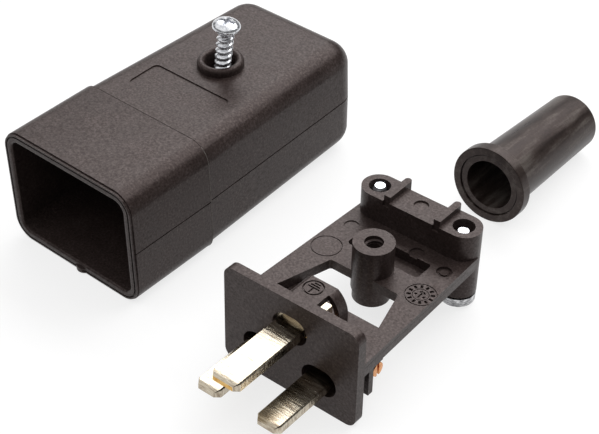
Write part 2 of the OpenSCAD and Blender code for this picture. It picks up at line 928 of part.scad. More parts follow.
module right_pin() {
    color(nickel)
        in_insert()
            side_pin(1);
}

module earth_pin() {
    wire_x = (earth_block_left + earth_block_right) / 2;
    color(nickel)
        in_insert()
            difference() {
                union() {
                    translate([0, 0, earth_z])
                        blade(earth_w, earth_l, plate_t / 2 + pin_gap);
                    translate([earth_block_left, 0, earth_z - pin_t / 2])
                        upright(plate_t / 2, plate_t + wire_end)
                            square([earth_w / 2 - earth_block_left, pin_t]);
                    translate([0, 0, earth_z])
                        upright(plate_t / 2, plate_t - 2 * skin)
                            intersection() {
                                stadium(slot_w - 2 * pin_gap, slot_h - 2 * pin_gap);
                                translate([-slot_w / 2, 0])
                                    square([slot_w, slot_h]);
                            }
                    translate([earth_block_left, plate_t, frame_z])
                        cube([earth_block_w, earth_block_l, earth_block_top - frame_z]);
                }
                translate([wire_x, 0, earth_grub_z])
                    upright(plate_t + wire_end, plate_t + earth_block_l + cut)
                        circle(d = wire_d);
                translate([wire_x, earth_grub_y, earth_grub_z])
                    rotate([0, 90, 0])
                        cylinder(d = grub_d + 2 * thread_gap, h = block_w);
            }
}

// Slotted screw without a head, from Z = 0 up
module grub_screw() {
    difference() {
        cylinder(d = grub_d, h = grub_l);
        translate([-grub_d, -grub_slot / 2, grub_l - 2 * grub_slot])
            cube([2 * grub_d, grub_slot, 3 * grub_slot]);
    }
}

module terminal_screws() {
    start = wire_d / 2 + thread_gap;
    color(copper)
        in_insert() {
            for (side = [-1, 1])
                translate([side * (pin_span / 2 + start), grub_y, side_z])
                    rotate([0, side * 90, 0])
                        grub_screw();
            translate([(earth_block_left + earth_block_right) / 2 + start, earth_grub_y, earth_grub_z])
                rotate([0, 90, 0])
                    grub_screw();
        }
}

// Loose clamp half under the bar
module cord_clamp() {
    color(plastic)
        in_insert()
            difference() {
                union() {
                    difference() {
                        translate([0, 0, clamp_z])
                            linear_extrude(clamp_t)
                                clamp_outline();
                        translate([0, 0, seam_z - saddle_d + saddle_r])
                            upright(bar_front - cut, bar_y + 2 * bar_r)
                                circle(saddle_r);
                    }
                    for (step = [-1, 1])
                        translate([0, bar_y + step * bar_r / 2, seam_z - saddle_d])
                            cube([channel_half, grip_h, 2 * grip_h], center = true);
                }
                clamp_holes(clamp_z - cut, seam_z + cut);
            }
}

module clamp_screws() {
    color(zinc)
        in_insert()
            for (x = [-1, 1])
                translate([x * bar_span / 2, bar_y, clamp_z - (x > 0 ? clamp_slack : 0)])
                    pan_screw(screw_l);
}

// Flanged sleeve, drawn along +Z from the flange face
module relief_sleeve() {
    bore_r = cord_bore / 2;
    flange_r = flange_d / 2;
    tube_r = tube_d / 2;
    end_r2 = tube_end_d / 2;
    color(rubber)
        in_sleeve()
            rotate_extrude()
                polygon([
                    [bore_r, face_step], [face_d / 2, face_step], [face_d / 2, 0],
                    [flange_r - sleeve_round / 2, 0], [flange_r, sleeve_round / 2],
                    [flange_r, flange_t - sleeve_round / 2], [flange_r - sleeve_round / 2, flange_t],
                    [tube_r, flange_t], [end_r2, sleeve_l - sleeve_round],
                    [end_r2 - sleeve_round, sleeve_l], [bore_r, sleeve_l]
                ]);
}

housing();
housing_screw();
insert_frame();
earth_pin();
left_pin();
right_pin();
terminal_screws();
cord_clamp();
clamp_screws();
relief_sleeve();
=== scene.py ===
import bmesh
import bpy
import json
import math
from mathutils import Matrix, Vector


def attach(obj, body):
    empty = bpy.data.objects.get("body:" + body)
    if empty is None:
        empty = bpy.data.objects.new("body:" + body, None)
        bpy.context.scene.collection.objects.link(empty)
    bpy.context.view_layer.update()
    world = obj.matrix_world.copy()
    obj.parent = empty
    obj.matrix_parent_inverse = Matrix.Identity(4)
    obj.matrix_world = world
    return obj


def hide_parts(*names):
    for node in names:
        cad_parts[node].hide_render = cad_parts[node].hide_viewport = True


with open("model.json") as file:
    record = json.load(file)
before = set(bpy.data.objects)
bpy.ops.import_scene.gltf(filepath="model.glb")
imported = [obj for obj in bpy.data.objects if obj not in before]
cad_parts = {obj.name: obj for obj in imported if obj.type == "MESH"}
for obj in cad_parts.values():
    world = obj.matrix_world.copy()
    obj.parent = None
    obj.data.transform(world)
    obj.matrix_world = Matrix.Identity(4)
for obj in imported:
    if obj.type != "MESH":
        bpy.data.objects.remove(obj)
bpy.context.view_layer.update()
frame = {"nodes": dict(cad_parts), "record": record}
nodes = frame["nodes"]
mounts = {m["name"]: m for m in frame["record"]["mounts"]}
mm = 0.001
weld = 0.001 * mm                # vertices closer than this are merged
print("frame loaded:", len(nodes), "nodes")


# places of the three groups, read from the mounts

placeLook = {
    "restBack": 10 * mm,         # from the housing's front back to the rest mount
    "plateHeight": 20.7 * mm,    # the pins' mount is at half the height of the face plate
}


def housingPlace(look):
    spot = Vector(mounts["rest"]["pos_m"])
    return Matrix.Translation(spot - Vector((0, look["restBack"], 0)))


def insertPlace(look):
    back = -Vector(mounts["contact_pins"]["axis"]).normalized()
    right = Vector((back.y, -back.x, 0)).normalized()
    up = right.cross(back)
    place = Matrix((right, back, up)).transposed().to_4x4()
    place.translation = Vector(mounts["contact_pins"]["pos_m"]) - up * look["plateHeight"] / 2
    return place


# the sleeve's own Z runs from the face of its flange along the cord
def sleevePlace():
    spot, axis = (Vector(mounts["cord_bore"][key]) for key in ("pos_m", "axis"))
    axis.normalize()
    face = min((v.co - spot).dot(axis) for v in nodes["relief_sleeve"].data.vertices)
    place = axis.to_track_quat("Z", "Y").to_matrix().to_4x4()
    place.translation = spot + axis * face
    return place


housingAt = housingPlace(placeLook)
insertAt = insertPlace(placeLook)
sleeveAt = sleevePlace()


# material helpers

noiseSpan = (0.3, 0.7)           # nearly all values of a noise texture lie in here
fineNoise = {"Detail": 3, "Roughness": 0.65}
broadNoise = {"Detail": 4, "Roughness": 0.6}


def newMaterial(name, **sockets):
    mat = bpy.data.materials.new(name)
    mat.use_nodes = True
    shader = mat.node_tree.nodes["Principled BSDF"]
    for key, value in sockets.items():
        shader.inputs[key.replace("_", " ")].default_value = value
    return mat, mat.node_tree, shader


def feed(tree, shader, **sources):
    for key, source in sources.items():
        tree.links.new(source, shader.inputs[key.replace("_", " ")])


def addNode(tree, kind, links=(), **settings):
    node = tree.nodes.new("ShaderNode" + kind)
    for key, value in settings.items():
        if hasattr(node, key):
            setattr(node, key, value)
        else:
            node.inputs[key].default_value = value
    for socket, source in links:
        tree.links.new(source, node.inputs[socket])
    return node


def mathNode(tree, operation, *values):
    node = addNode(tree, "Math", operation=operation)
    for socket, value in zip(node.inputs, values):
        if isinstance(value, bpy.types.NodeSocket):
            tree.links.new(value, socket)
        else:
            socket.default_value = value
    return node.outputs[0]


def objectPoint(tree, scale=(1, 1, 1), turn=0):
    coord = addNode(tree, "TexCoord")
    shift = addNode(tree, "Mapping", [("Vector", coord.outputs["Object"])])
    shift.inputs["Scale"].default_value = scale
    shift.inputs["Rotation"].default_value = (0, 0, math.radians(turn))
    return shift.outputs["Vector"]


def noise(tree, point, scale, kind):
    node = addNode(tree, "TexNoise", [("Vector", point)], Scale=scale, **kind)
    return node.outputs["Fac"]


def ramp(tree, source, stops):
    node = addNode(tree, "ValToRGB", [("Fac", source)])
    band = node.color_ramp
    while len(band.elements) < len(stops):
        band.elements.new(0.5)
    for element, (place, colour) in zip(band.elements, stops):
        element.position = place
        element.color = (*colour, 1)
    return node.outputs["Color"]


def spread(tree, source, ends, span=noiseSpan):
    node = addNode(tree, "MapRange", [("Value", source)])
    node.inputs["From Min"].default_value, node.inputs["From Max"].default_value = span
    node.inputs["To Min"].default_value, node.inputs["To Max"].default_value = ends
    return node.outputs["Result"]


def bumpFrom(tree, height, look):
    node = addNode(tree, "Bump", [("Height", height)], Strength=look["bump"], Distance=look["depth"])
    return node.outputs["Normal"]


# finishes: "speckle" is the share of the fine grain in the colour, the rest is blotches

plasticLook = {
    "stops": [(0.34, (0.022, 0.0148, 0.0135)), (0.54, (0.039, 0.0278, 0.0254)),
              (0.72, (0.085, 0.065, 0.061))],
    "grain": 2300, "blotch": 160, "stretch": (1, 1, 1), "speckle": 0.62, "bump": 0.8, "depth": 0.022 * mm,
    "rough": (0.33, 0.42), "shine": (0.15, 0.4), "tint": (1.0, 0.83, 0.8), "ior": 1.5,
}
insertLook = {**plasticLook, "shine": (0.19, 0.46)}
# pale plastic for the flash ridge at the housing's waist: partly the lighter thin plastic of the flash,
# partly a painted highlight
flashHighlightLook = {
    **plasticLook,
    "stops": [(0.34, (0.16, 0.15, 0.135)), (0.54, (0.27, 0.25, 0.23)), (0.72, (0.36, 0.34, 0.32))],
}
rubberLook = {
    "stops": [(0.4, (0.015, 0.0098, 0.0084)), (0.52, (0.033, 0.0235, 0.020)), (0.66, (0.1, 0.086, 0.077))],
    "grain": 1900, "blotch": 220, "stretch": (2.4, 0.22, 2.4), "speckle": 0.15, "bump": 0.16,
    "depth": 0.02 * mm, "rough": (0.27, 0.42), "shine": (0.31, 0.41), "tint": (1.0, 0.82, 0.79), "ior": 1.5,
}


def mouldedPlastic(name, look):
    mat, tree, shader = newMaterial(name, IOR=look["ior"], Specular_Tint=(*look["tint"], 1))
    grain = noise(tree, objectPoint(tree), look["grain"], fineNoise)
    blotch = noise(tree, objectPoint(tree, look["stretch"]), look["blotch"], broadNoise)
    gap = mathNode(tree, "SUBTRACT", grain, blotch)
    tone = mathNode(tree, "MULTIPLY_ADD", gap, look["speckle"], blotch)
    feed(tree, shader, Base_Color=ramp(tree, tone, look["stops"]), Normal=bumpFrom(tree, grain, look),
         Roughness=spread(tree, blotch, look["rough"]),
         Specular_IOR_Level=spread(tree, grain, look["shine"]))
    return mat


# "lines" is about how many marks there are to a metre on each axis, "turn" turns them about Z in degrees
metalLook = {"metallic": 1.0, "turn": 0, "bump": 0.3, "depth": 0.01 * mm}
nickelLook = {
    **metalLook, "lines": (330, 2700, 700), "turn": -1.76, "bump": 1.0, "depth": 0.035 * mm,
    "stops": [(0.34, (0.29, 0.235, 0.175)), (0.5, (0.5, 0.44, 0.345)), (0.66, (0.64, 0.585, 0.48))],
    "rough": (0.14, 0.28),
}
brassLook = {
    **metalLook, "lines": (1200, 1200, 1200), "rough": (0.25, 0.4),
    "stops": [(0.3, (0.40, 0.20, 0.04)), (0.5, (0.58, 0.33, 0.08)), (0.7, (0.72, 0.50, 0.2))],
}
zincLook = {
    **metalLook, "lines": (1500, 1500, 1500), "rough": (0.14, 0.3), "bump": 0.25, "metallic": 0.86,
    "stops": [(0.3, (0.52, 0.53, 0.57)), (0.5, (0.72, 0.73, 0.76)), (0.7, (0.84, 0.85, 0.87))],
}
# darker zinc for the clamp screws' heads under the clamp: painted shade
shadedHeadZincLook = {
    **metalLook, "lines": (900, 900, 2600), "rough": (0.2, 0.36), "bump": 0.6, "depth": 0.02 * mm,
    "stops": [(0.32, (0.10, 0.10, 0.105)), (0.5, (0.34, 0.34, 0.35)), (0.66, (0.72, 0.72, 0.73))],
}
copperLook = {
    **metalLook, "lines": (1800, 1800, 1800), "rough": (0.22, 0.4),
    "stops": [(0.3, (0.45, 0.18, 0.07)), (0.5, (0.70, 0.33, 0.14)), (0.7, (0.82, 0.47, 0.26))],
}


def workedMetal(name, look):
    mat, tree, shader = newMaterial(name, Metallic=look["metallic"])
    lines = noise(tree, objectPoint(tree, look["lines"], look["turn"]), 1, broadNoise)
    feed(tree, shader, Base_Color=ramp(tree, lines, look["stops"]), Normal=bumpFrom(tree, lines, look),
         Roughness=spread(tree, lines, look["rough"]))
    return mat


finish = {
    "plastic": mouldedPlastic("grainedPlastic", plasticLook),
    "insert": mouldedPlastic("glossierPlastic", insertLook),
    "rubber": mouldedPlastic("satinRubber", rubberLook),
    "flashHighlight": mouldedPlastic("paleFlashHighlightPlastic", flashHighlightLook),
    "nickel": workedMetal("warmNickel", nickelLook),
    "brass": workedMetal("cutBrass", brassLook),
    "zinc": workedMetal("brightZinc", zincLook),
    "shadedHeads": workedMetal("paintedShadeZinc", shadedHeadZincLook),
    "copper": workedMetal("bareCopper", copperLook),
}
print("finishes made:", len(finish))


# mesh helpers

def shownMesh(name, bm, slot, finishName=None, smoothAngle=35):
    mesh = bpy.data.meshes.new(name)
    bm.to_mesh(mesh)
    bm.free()
    mesh.materials.append(finish[finishName or slot])
    mesh.shade_smooth()
    mesh.set_sharp_from_angle(angle=math.radians(smoothAngle))
    piece = bpy.data.objects.new(name, mesh)
    bpy.context.scene.collection.objects.link(piece)
    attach(piece, "root")
    return piece


def setAt(bm, place):
    bmesh.ops.recalc_face_normals(bm, faces=bm.faces)
    bmesh.ops.transform(bm, matrix=place, verts=bm.verts)
    return bm


def joinInto(whole, part):
    held = bpy.data.meshes.new("held")
    part.to_mesh(held)
    part.free()
    whole.from_mesh(held)
    bpy.data.meshes.remove(held)


def spinProfile(bm, profile, around, closed=False):
    verts = [bm.verts.new((r, 0, z)) for r, z in profile]
    nextVerts = verts[1:] + verts[:1] if closed else verts[1:]
    edges = [bm.edges.new(pair) for pair in zip(verts, nextVerts)]
    bmesh.ops.spin(bm, geom=verts + edges, cent=(0, 0, 0), axis=(0, 0, 1), angle=2 * math.pi,
                   steps=around, use_merge=True)


def ringBand(bm, radius, width, deep, around=64):
    outer = radius + width
    spinProfile(bm, ((radius, -deep), (outer, -deep), (outer, deep), (radius, deep)), around, closed=True)


def stroke(bm, start, end, width, deep):
    middle = (Vector(start) + Vector(end)) / 2
    run = Vector(end) - Vector(start)
    turn = Matrix.Rotation(math.atan2(run.y, run.x), 3, "Z")
    made = bmesh.ops.create_cube(bm, size=1)["verts"]
    bmesh.ops.scale(bm, verts=made, vec=(run.length, width, 2 * deep))
    bmesh.ops.rotate(bm, verts=made, cent=(0, 0, 0), matrix=turn)
    bmesh.ops.translate(bm, verts=made, vec=middle.to_3d())


def disc(bm, spot, radius, deep, around):
    made = bmesh.ops.create_cone(bm, cap_ends=True, segments=around, radius1=radius, radius2=radius,
                                 depth=2 * deep)
    bmesh.ops.translate(bm, verts=made["verts"], vec=spot)


def carve(piece, cutters):
    for cutBm in cutters:
        mesh = bpy.data.meshes.new("cutter")
        cutBm.to_mesh(mesh)
        cutBm.free()
        cutter = bpy.data.objects.new("cutter", mesh)
        bpy.context.scene.collection.objects.link(cutter)
        cut = piece.modifiers.new("carve", "BOOLEAN")
        cut.operation = "DIFFERENCE"
        cut.solver = "EXACT"
        cut.use_self = True
        cut.object = cutter
        bpy.context.view_layer.update()
        graph = bpy.context.evaluated_depsgraph_get()
        done = bpy.data.meshes.new_from_object(piece.evaluated_get(graph))
        piece.modifiers.clear()
        piece.data = done
        bpy.data.objects.remove(cutter)


# pieces copied from the nodes

slotOf = {s["node"]: s["material_slot"] for s in frame["record"]["subparts"]}
finishOf = {"insert_frame": "insert", "cord_clamp": "insert"}    # the others take their slot's finish
edgeWidth = {
    "housing": 0.16 * mm, "insert_frame": 0.14 * mm, "cord_clamp": 0.2 * mm, "relief_sleeve": 0.1 * mm,
    "earth_pin": 0.08 * mm, "left_pin": 0.08 * mm, "right_pin": 0.08 * mm, "terminal_screws": 0.1 * mm,
}
copyLook = {"merge": 0.002 * mm, "flat": 0.2}                    # flat is in degrees


def nodeCopy(node, look):
    bm = bmesh.new()
    bm.from_mesh(nodes[node].data)
    bmesh.ops.remove_doubles(bm, verts=bm.verts, dist=look["merge"])
    bmesh.ops.dissolve_limit(bm, angle_limit=math.radians(look["flat"]), verts=bm.verts, edges=bm.edges)
    return bm


def roundEdges(piece, width, segments=2, angle=32):
    edge = piece.modifiers.new("roundEdges", "BEVEL")
    edge.width = width
    edge.segments = segments
    edge.limit_method = "ANGLE"
    edge.angle_limit = math.radians(angle)
    edge.harden_normals = True
    even = piece.modifiers.new("evenNormals", "WEIGHTED_NORMAL")
    even.keep_sharp = True


openingLook = {
    "half": (14.75 * mm, 10.6 * mm), "middle": 12.7 * mm, "slack": 0.05 * mm,
    "level": 0.01 * mm,          # an edge this near to the front plane is on it
    "facing": 0.99,              # cosine from which a face counts as part of the front
    "round": 0.5 * mm, "segments": 5,
}


# the inner edge of the housing's opening is worn round
def softOpening(bm, look):
    toHousing = housingAt.inverted()
    halfWide, halfHigh = (half + look["slack"] for half in look["half"])
    edges = []
    for edge in bm.edges:
        ends = [toHousing @ v.co for v in edge.verts]
        inside = all(abs(p.x) < halfWide and abs(p.z - look["middle"]) < halfHigh for p in ends)
        inFront = all(abs(p.y) < look["level"] for p in ends)
        ahead = [abs(f.normal.y) > look["facing"] for f in edge.link_faces]
        if inside and inFront and sorted(ahead) == [False, True]:
            edges.append(edge)
    bmesh.ops.bevel(bm, geom=edges, offset=look["round"], segments=look["segments"], profile=0.5,
                    affect="EDGES", material=-1)
    print("opening edges rounded:", len(edges))


flangeLook = {
    "rim": 8.03 * mm, "thick": 2.4 * mm, "edge": 0.1 * mm,
    "ahead": 0.2 * mm,           # how far the flange comes forward
    "disc": 7 * mm,              # vertices farther out than this are on the rim
    "back": 1.9 * mm,            # vertices farther back than this are on the tube
    "groove": (6.27 * mm, 0.23 * mm), "floor": 0.3 * mm, "deep": 0.3 * mm,
}


# the sleeve's flange is a little thicker and crisper at its rim
def fullFlange(bm, look):
    toSleeve = sleeveAt.inverted()
    widest = max((toSleeve @ v.co).xy.length for v in bm.verts)
    for v in bm.verts:
        p = toSleeve @ v.co
        if p.z > look["back"]:
            continue
        r, rear = p.xy.length, p.z > look["back"] / 2
        depth = look["thick"] if rear else 0
        if r > widest - look["edge"]:
            wide = look["rim"]
            depth += -look["edge"] if rear else look["edge"]
        elif r > look["disc"]:
            wide = look["rim"] - look["edge"]
        else:
            wide = r
            depth = depth if rear else p.z
        v.co = sleeveAt @ Vector((p.x * wide / r, p.y * wide / r, depth - look["ahead"]))


reshape = {"housing": (softOpening, openingLook), "relief_sleeve": (fullFlange, flangeLook)}
shown = {}
for node, width in edgeWidth.items():
    copied = nodeCopy(node, copyLook)
    if node in reshape:
        shape, look = reshape[node]
        shape(copied, look)
    shown[node] = shownMesh(node + "Look", copied, slotOf[node], finishOf.get(node))
    roundEdges(shown[node], width)
    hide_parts(node)

tipLook = {"facing": 0.98, "largest": 8 * mm * mm}


# the small front faces of a pin show the metal under its plating
def bareTip(piece, look):
    ahead = Vector(mounts["contact_pins"]["axis"]).normalized()
    piece.data.materials.append(finish["brass"])
    for face in piece.data.polygons:
        if face.normal.dot(ahead) > look["facing"] and face.area < look["largest"]:
            face.material_index = 1


bareTip(shown["earth_pin"], tipLook)
print("copied pieces finished")


# screws with a rolled thread

screwLook = {
    "crest": 1.7 * mm, "core": 1.18 * mm, "pitch": 1.32 * mm, "least": 0.12 * mm,
    "runIn": (0.6 * mm, 1.4 * mm), "point": 2.2 * mm, "tip": 1.1 * mm,
    "head": 2.8 * mm, "headHeight": 1.5 * mm, "rim": 0.14 * mm, "ease": 0.06 * mm,
    "curve": 2.25,               # fullness of the head's crown, where 2 is an ellipse
    "around": 48, "perTurn": 14, "crown": 16, "smooth": 40,
}


# how far a value is on its way from start to end, 0 to 1
def share(value, start, end):
    return min(max((value - start) / (end - start), 0), 1)


def threadedShaft(look, length):
    bm = bmesh.new()
    rows = int(length / look["pitch"] * look["perTurn"])
    bmesh.ops.create_grid(bm, x_segments=look["around"], y_segments=rows, size=0.5)
    for v in bm.verts:
        turn, z = v.co.x + 0.5, (v.co.y + 0.5) * length
        phase = (z / look["pitch"] - turn) % 1
        crest = (0.5 - 0.5 * math.cos(2 * math.pi * phase)) ** 2
        high = look["tip"] + (look["crest"] - look["tip"]) * share(length - z, 0, look["point"])
        low = min(look["core"], high - look["least"])
        r = low + (high - low) * crest * share(z, *look["runIn"])
        v.co = (r * math.cos(2 * math.pi * turn), r * math.sin(2 * math.pi * turn), z)
    bmesh.ops.remove_doubles(bm, verts=bm.verts, dist=weld)
    bmesh.ops.holes_fill(bm, edges=[e for e in bm.edges if e.is_boundary], sides=0)
    return bm


def screwHead(look):
    bm = bmesh.new()
    head, ease, power = look["head"], look["ease"], 2 / look["curve"]
    rise = look["headHeight"] - look["rim"]
    profile = [(0, 0), (head - ease, 0), (head, -ease)]
    for k in range(look["crown"] + 1):
        turn = math.pi / 2 * k / look["crown"]
        profile.append((head * math.cos(turn) ** power, -look["rim"] - rise * math.sin(turn) ** power))
    spinProfile(bm, profile, look["around"])
    bmesh.ops.remove_doubles(bm, verts=bm.verts, dist=weld)
    return bm


def setScrews(name, spots, look):
    whole = bmesh.new()
    for place, length in spots:
        joinInto(whole, setAt(threadedShaft(look, length), place))
        joinInto(whole, setAt(screwHead(look), place))
    return shownMesh(name, whole, "zinc", smoothAngle=look["smooth"])


recessLook = {
    "cross": {"reach": 2.0 * mm, "half": 0.44 * mm, "deep": 1.0 * mm},
    "marks": {"reach": 1.15 * mm, "half": 0.14 * mm, "deep": 0.35 * mm},
    "turn": 20, "apart": 45,     # degrees
    "foot": 0.6, "above": 1 * mm,
}


# two tapered bars make the cross, with fine marks between its wings
def crossRecess(look, top):
    bm = bmesh.new()
    for k in range(180 // look["apart"]):
        bar = look["marks" if k % 2 else "cross"]
        made = bmesh.ops.create_cube(bm, size=2)["verts"]
        for v in made:
            low = v.co.z > 0
            shrink = look["foot"] if low else 1
            z = top + bar["deep"] if low else top - look["above"]
            v.co = (v.co.x * bar["reach"] * shrink, v.co.y * bar["half"] * shrink, z)
        turn = Matrix.Rotation(math.radians(look["turn"] + look["apart"] * k), 3, "Z")
        bmesh.ops.rotate(bm, verts=made, cent=(0, 0, 0), matrix=turn)
    return bm


standingLook = {
    **screwLook, "at": (0, 41.43 * mm, 21.85 * mm), "length": 12 * mm,
    "turn": 40.8, "lean": 7,     # degrees
}


# the housing's screw stands in its collar with the head up
def standingPlace(look):
    turn = Matrix.Rotation(math.radians(look["turn"]), 4, "Z")
    lean = Matrix.Rotation(math.radians(look["lean"]), 4, "Y")
    headUp = Matrix.Translation((0, 0, look["length"])) @ Matrix.Rotation(math.pi, 4, "X")
    return housingAt @ Matrix.Translation(look["at"]) @ turn @ lean @ headUp


standing = standingPlace(standingLook)
housingScrew = setScrews("housingScrewLook", [(standing, standingLook["length"])], standingLook)
carve(housingScrew, [setAt(crossRecess(recessLook, -standingLook["headHeight"]), standing)])
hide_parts("housing_screw")

clampLook = {
    **screwLook, "head": 3.4 * mm, "headHeight": 2.35 * mm, "rim": 1.5 * mm, "ease": 0.02 * mm,
    # below this height the screws take the darker zinc, painted shade under the clamp
    "curve": 2.2, "shadedBelow": 4.2 * mm,
    "spots": [((-9.35 * mm, 37.8 * mm, 4.15 * mm), 14.2 * mm),   # place and length
              ((9.35 * mm, 37.8 * mm, 3.7 * mm), 13.65 * mm)],
}


# the heads of the clamp's screws, below the clamp, take a darker and slightly rougher zinc: painted shade
def shadeClampHeads(piece, look):
    toInsert = insertAt.inverted()
    piece.data.materials.append(finish["shadedHeads"])
    for face in piece.data.polygons:
        if (toInsert @ face.center).z < look["shadedBelow"]:
            face.material_index = 1


clampSpots = [(insertAt @ Matrix.Translation(at), length) for at, length in clampLook["spots"]]
clampScrews = setScrews("clampScrewsLook", clampSpots, clampLook)
shadeClampHeads(clampScrews, clampLook)
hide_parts("clamp_screws")
print("screws made")


# signs and fine lines cut into the insert

earthSign = {
    "at": (0.97 * mm, 5.11 * mm, 20.7 * mm), "radius": 1.6 * mm, "line": 0.33 * mm, "deep": 0.35 * mm,
    "bars": ((0.0, 1.2 * mm), (0.56 * mm, 0.95 * mm), (1.1 * mm, 0.6 * mm)),    # place and half length
    "stem": (-1.45 * mm, -0.15 * mm),
}


def earthCutter(look):
    bm = bmesh.new()
    ringBand(bm, look["radius"], look["line"], look["deep"])
    for y, half in look["bars"]:
        stroke(bm, (-half, y), (half, y), look["line"], look["deep"])
    foot, top = look["stem"]
    stroke(bm, (0, foot), (0, top), look["line"], look["deep"])
    bmesh.ops.translate(bm, verts=bm.verts, vec=look["at"])
    return bm


dialLook = {
    "at": (10.9 * mm, 22.88 * mm, 12.9 * mm), "deep": 0.35 * mm, "ring": (1.4 * mm, 0.14 * mm),
    "ticks": 12, "from": 1.72 * mm, "to": 2.52 * mm, "wide": 0.5 * mm,
    "arrow": 1.0 * mm, "bold": 0.34 * mm, "barb": 0.55 * mm, "barbEnd": (0.06 * mm, 0.1 * mm),
    "dot": 0.26 * mm, "dotAt": (0.86 * mm, -0.3 * mm), "around": 16,
}


def dialCutter(look):
    bm = bmesh.new()
    ringBand(bm, *look["ring"], look["deep"])
    for k in range(look["ticks"]):
        turn = 2 * math.pi * k / look["ticks"]
        out = Vector((math.cos(turn), math.sin(turn)))
        stroke(bm, out * look["from"], out * look["to"], look["wide"], look["deep"])
    tip, barb = look["arrow"], look["barb"]
    stroke(bm, (0, -tip), (0, tip - barb), look["bold"], look["deep"])
    endOut, endDown = look["barbEnd"]
    dotOut, dotUp = look["dotAt"]
    for side in (-1, 1):
        stroke(bm, (side * barb, tip - barb), (side * endOut, tip - endDown), look["bold"], look["deep"])
        disc(bm, (side * dotOut, dotUp, 0), look["dot"], look["deep"], look["around"])
    bmesh.ops.translate(bm, verts=bm.verts, vec=look["at"])
    return bm


markLook = {
    "grooveAt": (10.5 * mm, 30.65 * mm, 12.7 * mm), "groove": (0.78 * mm, 0.68 * mm),
    "dishAt": (0, 37.8 * mm, 18.3 * mm), "dish": 1.38 * mm, "deep": 0.28 * mm, "around": 64,
}


# a groove round the right mould mark, and the mark on the bar
def markCutter(look):
    bm = bmesh.new()
    ringBand(bm, *look["groove"], look["deep"])
    bmesh.ops.translate(bm, verts=bm.verts, vec=look["grooveAt"])
    disc(bm, look["dishAt"], look["dish"], look["deep"], look["around"])
    return bm


shoulderLook = {
    "front": (14.1 * mm, 2.2 * mm), "rear": (13.1 * mm, 34.2 * mm), "under": 11.8 * mm,
    "in": 0.9 * mm, "half": 0.2 * mm,
}


# fine line under the shoulder along each side of the frame
def shoulderCutter(look):
    bm = bmesh.new()
    for side in (-1, 1):
        front, rear = ((side * x, y) for x, y in (look["front"], look["rear"]))
        stroke(bm, front, rear, look["in"], look["half"])
    bmesh.ops.translate(bm, verts=bm.verts, vec=(0, 0, look["under"]))
    return bm


insertCuts = ((earthCutter, earthSign), (dialCutter, dialLook), (markCutter, markLook),
              (shoulderCutter, shoulderLook))
carve(shown["insert_frame"], [setAt(cutter(look), insertAt) for cutter, look in insertCuts])


# fine groove round the face of the sleeve's flange

def flangeCutter(look):
    bm = bmesh.new()
    ringBand(bm, *look["groove"], look["deep"])
    bmesh.ops.translate(bm, verts=bm.verts, vec=(0, 0, look["floor"] - look["ahead"]))
    return bm


carve(shown["relief_sleeve"], [setAt(flangeCutter(flangeLook), sleeveAt)])


# fine groove round the housing's front rim

rimLook = {
    "half": (16.85 * mm, 12.7 * mm), "middle": 12.7 * mm, "corner": 4.2 * mm, "perCorner": 12,
    "inset": (0.62 * mm, 0.94 * mm), "deep": 0.4 * mm,
}


def rimOutline(look, inset):
    reach = look["corner"] - inset
    midX, midZ = (half - look["corner"] for half in look["half"])
    points = []
    for sideX, sideZ, first in ((1, 1, 0), (-1, 1, 90), (-1, -1, 180), (1, -1, 270)):
        for k in range(look["perCorner"] + 1):
            turn = math.radians(first + 90 * k / look["perCorner"])
            x = sideX * midX + reach * math.cos(turn)
            z = look["middle"] + sideZ * midZ + reach * math.sin(turn)
            points.append((x, z))
    return points


def rimCutter(look):
    bm = bmesh.new()
    rims = []
    for inset in look["inset"]:
        verts = [bm.verts.new((x, -look["deep"], z)) for x, z in rimOutline(look, inset)]
        rims += [bm.edges.new(pair) for pair in zip(verts, verts[1:] + verts[:1])]
    ring = bmesh.ops.bridge_loops(bm, edges=rims)["faces"]
    made = bmesh.ops.extrude_face_region(bm, geom=ring)["geom"]
    moved = [v for v in made if isinstance(v, bmesh.types.BMVert)]
    bmesh.ops.translate(bm, verts=moved, vec=(0, 2 * look["deep"], 0))
    return bm


# line round the housing's waist: a groove on top, and down the right side a ridge of flash coloured pale,
# partly for its lighter thin plastic and partly as a painted highlight

waistLook = {
    "at": 20.12 * mm, "centre": (12.52 * mm, 8.5 * mm), "middle": 12.7 * mm, "corner": 4.2 * mm,
    "bulge": 0.13 * mm,
    "groovedTo": 54, "flashTo": -60, "step": 6,        # degrees round the corners
    "groove": ((-0.07 * mm, -0.06 * mm), (0.4 * mm, -0.06 * mm),
               (0.4 * mm, 0.06 * mm), (-0.07 * mm, 0.06 * mm)),
    "ridge": ((-0.06 * mm, -0.11 * mm), (0.06 * mm, 0), (-0.06 * mm, 0.11 * mm)),
}


def waistRow(look, x, z, turn):
    return Matrix.Translation((x, look["at"], z)) @ Matrix.Rotation(-math.radians(turn), 4, "Y")


def waistCorner(look, turns, side):
    midX, midZ = look["centre"]
    rows = []
    for turn in turns:
        x = midX + look["corner"] * math.cos(math.radians(turn))
        z = look["middle"] + side * midZ + look["corner"] * math.sin(math.radians(turn))
        rows.append(waistRow(look, x, z, turn))
    return rows


def sweep(section, rows):
    bm = bmesh.new()
    end = bm.faces.new([bm.verts.new(rows[0] @ Vector((out, along, 0))) for out, along in section])
    for here, there in zip(rows, rows[1:]):
        made = bmesh.ops.extrude_face_region(bm, geom=[end, *end.edges])["geom"]
        end = next(f for f in made if isinstance(f, bmesh.types.BMFace))
        bmesh.ops.transform(bm, matrix=there @ here.inverted(), verts=end.verts)
    return bm


def waistGroove(look):
    midX, midZ = look["centre"]
    start = waistRow(look, -midX, look["middle"] + midZ + look["corner"], 90)
    rows = waistCorner(look, range(90, look["groovedTo"] - 1, -look["step"]), 1)
    return sweep(look["groove"], [start] + rows)


